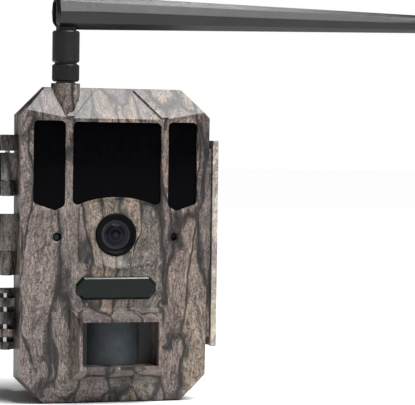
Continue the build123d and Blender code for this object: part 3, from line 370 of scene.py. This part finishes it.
FILM_RIBS = 9000.0               # radians of the ribs' sine in a metre
FILM_ZONE_WIDTH = 3.2 * MM       # half the spacing of the zone lines
FILM_ZONE_HEIGHT = 3.4 * MM
FILM_LINE_SHARPNESS = 2600.0


def sensor_film():
    """Milky slate film with the fine ribs and zone lines of a strip lens."""
    s = Shader("sensor_film", Specular_IOR_Level=0.16, Subsurface_Weight=0.08,
               Subsurface_Radius=(0.001, 0.001, 0.001))
    across, height = s.across_and_up()
    ribs = s.math("SINE", s.math("MULTIPLY", across, FILM_RIBS), 0.0)
    zone_x = s.math("PINGPONG", s.math("ADD", across, 0.1), FILM_ZONE_WIDTH)
    zone_z = s.math("PINGPONG", s.math("ADD", height, FILM_ZONE_HEIGHT / 2), FILM_ZONE_HEIGHT)
    line = s.math("MINIMUM", s.math("MULTIPLY", zone_x, FILM_LINE_SHARPNESS, clamp=True),
                  s.math("MULTIPLY", zone_z, FILM_LINE_SHARPNESS, clamp=True))
    cloud = s.noise(160.0, detail=4.0)
    base = s.mix(s.ramp(cloud, (0.3, 0.0), (0.7, 1.0)), srgb(50, 54, 58), srgb(64, 69, 73))
    base = s.mix(s.math("MULTIPLY", s.math("SUBTRACT", 1.0, line), 0.22), base, srgb(40, 44, 50))
    relief = s.math("ADD", s.math("MULTIPLY", ribs, 0.3), line)
    s.set(Base_Color=base, Roughness=s.ramp(cloud, (0.3, 0.55), (0.7, 0.66)),
          Normal=s.bump(relief, 0.15, 0.00008))
    return s.material


def coated_glass():
    """Front element: dark glass with a faint blue and green coating."""
    s = Shader("lens_glass", Specular_IOR_Level=0.06)
    across, height = s.across_and_up()
    lens_low, lens_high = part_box("lens_front_glass")
    middle = (lens_low + lens_high) / 2
    radius_squared = s.math("ADD", s.math("POWER", s.math("SUBTRACT", across, middle.x), 2.0),
                            s.math("POWER", s.math("SUBTRACT", height, middle.z), 2.0))
    radius = s.math("MULTIPLY", s.math("SQRT", radius_squared), 2.0 / (lens_high.x - lens_low.x))
    tone = s.ramp(radius, (0.0, srgb(20, 30, 28)), (0.20, srgb(26, 34, 30)), (0.27, srgb(8, 9, 11)),
                  (0.44, srgb(12, 11, 17)), (0.54, srgb(28, 26, 38)), (0.68, srgb(22, 20, 31)),
                  (0.76, srgb(12, 12, 16)), (0.88, srgb(24, 24, 27)), (0.94, srgb(38, 39, 44)),
                  (1.0, srgb(24, 24, 28)))
    dust = s.noise(1500.0, detail=3.0)
    s.set(Base_Color=tone, Roughness=s.ramp(dust, (0.4, 0.03), (0.8, 0.10)))
    return s.material


def circuit_board():
    """Green solder mask with copper traces showing through."""
    s = Shader("circuit_board", Specular_IOR_Level=0.5)
    values = {"Vector": s.scaled((260, 260, 260)), "Scale": 1.0}
    cells = s.node("TexVoronoi", 0, values, feature="F1", distance="CHEBYCHEV")
    trace = s.ramp(s.math("PINGPONG", s.math("MULTIPLY", cells, 5.0), 0.5), (0.38, 0.0), (0.45, 1.0))
    cloud = s.noise(120.0, detail=2.0)
    base = s.mix(trace, srgb(10, 70, 44), srgb(30, 108, 66))
    s.set(Base_Color=s.mix(s.math("MULTIPLY", cloud, 0.25), base, srgb(8, 52, 34)), Roughness=0.32,
          Normal=s.bump(trace, 0.3, 0.00006))
    return s.material


CELLS_BOTTOM = 13.5 * MM
CELLS_MIDDLE = 55.5 * MM         # from there up to where the two rows of cells meet
GREEN_BAND = 36.0 * MM           # its length from the outer end of a cell


def cell_wrap():
    """Printed shrink wrap on the cells: two plain bands, no lettering."""
    s = Shader("cell_wrap", Specular_IOR_Level=0.6, Coat_Weight=0.4, Coat_Roughness=0.12)
    height = s.across_and_up()[1]
    from_end = s.math("PINGPONG", s.math("SUBTRACT", height, CELLS_BOTTOM), CELLS_MIDDLE)
    gold = s.math("GREATER_THAN", from_end, GREEN_BAND)
    base = s.mix(gold, srgb(44, 74, 52), srgb(176, 152, 92))
    worn = s.noise(600.0, detail=5.0)
    base = s.mix(s.ramp(worn, (0.55, 0.0), (0.8, 0.4)), base, srgb(120, 122, 118))
    s.set(Base_Color=base, Metallic=0.35, Roughness=s.ramp(worn, (0.3, 0.24), (0.7, 0.38)))
    return s.material


SCREEN_GRID = 18000.0            # radians of the grid's sine in a metre


def screen_glass():
    """Unlit screen: dark blue-grey cells under gloss."""
    s = Shader("screen_glass", Specular_IOR_Level=0.6, Coat_Weight=0.8, Coat_Roughness=0.03)
    across, height = s.across_and_up()
    grid = s.math("MAXIMUM", s.math("SINE", s.math("MULTIPLY", across, SCREEN_GRID), 0.0),
                  s.math("SINE", s.math("MULTIPLY", height, SCREEN_GRID), 0.0))
    s.set(Base_Color=s.mix(s.ramp(grid, (0.7, 0.0), (1.0, 0.5)), srgb(26, 31, 36), srgb(14, 16, 20)),
          Roughness=s.ramp(s.noise(300.0), (0.3, 0.08), (0.7, 0.2)))
    return s.material


# One finish for each material slot of the record, and the nodes that wear one of their own
finishes = {
    "camo_shell": bark("camo_shell", 0.58, (1.02, 0.97, 0.95)),
    "bracket_plastic": moulded("bracket_plastic", srgb(52, 52, 46), 0.62, 0.6),
    "window_black": window_gloss(),
    "lens_black": moulded("lens_black", srgb(5, 5, 7), 0.45, 0.10, 0.05, 0.2),
    "lens_glass": coated_glass(),
    "chip_black": moulded("chip_black", srgb(36, 36, 40), 0.55, 0.3),
    "nameplate_black": moulded("nameplate_black", srgb(11, 19, 16), 0.12, 0.03, 0.18, 0.1),
    "sensor_film": sensor_film(),
    "black_plastic": moulded("black_plastic", srgb(30, 30, 32), 0.55, 0.6),
    "bright_steel": metal("bright_steel", srgb(196, 196, 192)),
    "circuit_board": circuit_board(),
    "lamp_resin": moulded("lamp_resin", srgb(60, 34, 62), 0.12, 0.05, 0.6),
    "screen_glass": screen_glass(),
    "white_plastic": moulded("white_plastic", srgb(206, 204, 196), 0.42, 0.2),
    "card_plastic": moulded("card_plastic", srgb(30, 58, 110), 0.40, 0.2),
    "brass_metal": metal("brass_metal", srgb(212, 172, 96), 0.24),
    "black_nickel": metal("black_nickel", srgb(74, 74, 78), 0.30),
    "antenna_plastic": moulded("antenna_plastic", srgb(11, 11, 14), 0.33, 0.20, 0.42, 0.2),
    "seal_rubber": moulded("seal_rubber", srgb(150, 70, 36), 0.58, 0.3),
    "cell_wrap": cell_wrap(),
    "plug_rubber": moulded("plug_rubber", srgb(40, 40, 40), 0.70, 0.5),
    "sensor_guide": moulded("sensor_guide", srgb(18, 25, 26), 0.30, 0.05, 0.2, 0.2),
    "key_rubber": moulded("key_rubber", srgb(96, 98, 100), 0.60, 0.3),
}
own_finishes = {
    "latch_lever": bark("camo_latch", 1.15, (0.97, 1.02, 1.0), 0.12, 0.45),
    # rear case: the same bark print made darker, as painted shade on the side walls that face away from
    # the key light
    "rear_case": bark("camo_rear_painted_shade", 0.47, (1.02, 0.96, 0.93)),
    "microphone": metal("dull_can", srgb(52, 52, 56), 0.45),
    "pir_retainer": moulded("sensor_plate", srgb(58, 58, 58), 0.6, 0.3, 0.3),
    "lens_barrel": moulded("barrel_black", srgb(30, 30, 35), 0.4, 0.1, 0.2, 0.2),
}
slot_of = {entry["node"]: entry["material_slot"] for entry in frame["record"]["subparts"]}
for node_name, item in nodes.items():
    finish = own_finishes.get(node_name) or finishes[slot_of[node_name]]
    for material_slot in item.material_slots:
        material_slot.material = finish

# ------------------------------------------------------------------ rounded edges


WELD_REACH = 0.002 * MM
SHARP_EDGE = math.radians(28.0)    # an edge that turns more than this is rounded
CASE_EDGE = 0.55 * MM
SMALL_EDGE = 0.3 * MM


def soften(item, width):
    """Join the mesh's split edges and round its sharp ones."""
    weld = item.modifiers.new("weld", "WELD")
    weld.merge_threshold = WELD_REACH
    bevel = item.modifiers.new("bevel", "BEVEL")
    bevel.width = width
    bevel.segments = 2
    bevel.limit_method = "ANGLE"
    bevel.angle_limit = SHARP_EDGE
    bevel.harden_normals = True
    bevel.use_clamp_overlap = True


for node_name in ("front_housing", "rear_case"):
    soften(nodes[node_name], CASE_EDGE)
for node_name in ("latch_lever", "tree_bracket", "nameplate", "antenna_paddle", "power_slider"):
    soften(nodes[node_name], SMALL_EDGE)

# ------------------------------------------------------------------ fine pieces


def piece(name, points, faces, slot, smooth=True):
    """New visible piece from mesh data, finished in one of the record's material slots."""
    mesh = bpy.data.meshes.new(name)
    mesh.from_pydata(points, [], faces)
    mesh.polygons.foreach_set("use_smooth", [smooth] * len(mesh.polygons))
    mesh.materials.append(finishes[slot])
    made = bpy.data.objects.new(name, mesh)
    bpy.context.scene.collection.objects.link(made)
    return made


def wire(path, radius, sides=8):
    """Points and faces of a closed round wire along a path that climbs around the upright axis."""
    points, faces = [], []
    for index, here in enumerate(path):
        along = (path[min(index + 1, len(path) - 1)] - path[max(index - 1, 0)]).normalized()
        across = along.cross(Vector((0.0, 0.0, 1.0))).normalized()
        lift = across.cross(along)
        for side in range(sides):
            turn = 2 * math.pi * side / sides
            points.append(here + (across * math.cos(turn) + lift * math.sin(turn)) * radius)
    for ring in range(len(path) - 1):
        for side in range(sides):
            beside = (side + 1) % sides
            faces.append((ring * sides + side, ring * sides + beside,
                          (ring + 1) * sides + beside, (ring + 1) * sides + side))
    faces.append(tuple(reversed(range(sides))))
    faces.append(tuple(range(len(points) - sides, len(points))))
    return points, faces


# Conical coils under the flat ends of the cells, in place of the CAD model's stacked rings
CELL_COLUMNS = 4
CELL_PITCH = 15.4 * MM
CELL_Y = -10.0 * MM
COIL_WIRE = 0.26 * MM
COIL_TURNS = 3.0
COIL_STEPS = 66
COIL_ROWS = (14.4 * MM, 69.9 * MM)     # on the lower contacts of the two rows of cells
COIL_ROW_LENGTH = 53.2 * MM            # between the contacts at the two ends of a row
COIL_HEIGHT = 1.8 * MM
COIL_FOOT_RADIUS = 3.0 * MM
COIL_TOP_RADIUS = 1.8 * MM
coil_points, coil_faces = [], []
for row_low in COIL_ROWS:
    for column in range(CELL_COLUMNS):
        nub_up = column % 2 == 0
        foot = row_low if nub_up else row_low + COIL_ROW_LENGTH
        climb = 1.0 if nub_up else -1.0
        path = []
        for step in range(COIL_STEPS + 1):
            share = step / COIL_STEPS
            turn = 2 * math.pi * COIL_TURNS * share * climb
            spread = COIL_FOOT_RADIUS + share * (COIL_TOP_RADIUS - COIL_FOOT_RADIUS)
            rise = climb * (COIL_WIRE + share * (COIL_HEIGHT - 2 * COIL_WIRE))
            path.append(Vector((CELL_PITCH * (column - (CELL_COLUMNS - 1) / 2) + spread * math.cos(turn),
                                CELL_Y + spread * math.sin(turn), foot + rise)))
        points, faces = wire(path, COIL_WIRE)
        coil_faces += [tuple(corner + len(coil_points) for corner in face) for face in faces]
        coil_points += points
coils = piece("coil_springs", coil_points, coil_faces, "bright_steel")
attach(coils, "rear")
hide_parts("battery_springs")

# Raised marks on the keys: an arrow on each of four, a ring on the middle one
MARK_RISE = 0.18 * MM
MARK_ROOT = 0.05 * MM          # sunk into the key
MARK_REACH = 1.5 * MM
ARROW = ((0.0, 1.0), (-0.87, -0.5), (-0.62, -0.72), (0.0, -0.42), (0.62, -0.72), (0.87, -0.5))
ARROW_HOLE = 0.45              # its hollow middle, as a share of its size
RING_HOLE = 0.62
RING_STEP = 12                 # degrees
for key_name, turn in (("up", 0.0), ("left", 90.0), ("down", 180.0), ("right", 270.0), ("ok", None)):
    key_low, key_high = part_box("key_" + key_name)
    middle = (key_low + key_high) / 2
    if turn is None:
        steps = [math.radians(degrees) for degrees in range(0, 360, RING_STEP)]
        outline = [(math.cos(step), math.sin(step)) for step in steps]
        inside = [(x * RING_HOLE, z * RING_HOLE) for x, z in outline]
    else:
        spin = math.radians(turn)
        outline = [(x * math.cos(spin) - z * math.sin(spin), x * math.sin(spin) + z * math.cos(spin))
                   for x, z in ARROW]
        inside = [(x * ARROW_HOLE, z * ARROW_HOLE) for x, z in outline]
    count = len(outline)
    points = []
    rings = ((outline, -MARK_ROOT), (outline, MARK_RISE), (inside, MARK_RISE), (inside, -MARK_ROOT))
    for ring, height in rings:
        for x, z in ring:
            points.append((middle.x + x * MARK_REACH, key_high.y + height, middle.z + z * MARK_REACH))
    faces = []
    for ring in range(len(rings)):
        after = (ring + 1) % len(rings)
        for index in range(count):
            beside = (index + 1) % count
            faces.append((ring * count + index, ring * count + beside,
                          after * count + beside, after * count + index))
    mark = piece("key_mark_" + key_name, points, faces, "white_plastic", smooth=False)
    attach(mark, "key_" + key_name)

# ------------------------------------------------------------------ floor

FLOOR_HALF = 12.0
FLOOR_GAP = 0.1 * MM             # under the object
floor = Shader("floor", Roughness=0.8, Specular_IOR_Level=0.1)
floor.set(Base_Color=floor.mix(floor.noise(3.0), (0.97, 0.97, 0.97, 1), (0.95, 0.95, 0.95, 1)))
floor_mesh = bpy.data.meshes.new("floor")
floor_corners = [(x * FLOOR_HALF, y * FLOOR_HALF, cad_low.z - FLOOR_GAP)
                 for x, y in ((-1, -1), (1, -1), (1, 1), (-1, 1))]
floor_mesh.from_pydata(floor_corners, [], [(0, 1, 2, 3)])
floor_mesh.materials.append(floor.material)
floor_item = bpy.data.objects.new("floor", floor_mesh)
bpy.context.scene.collection.objects.link(floor_item)
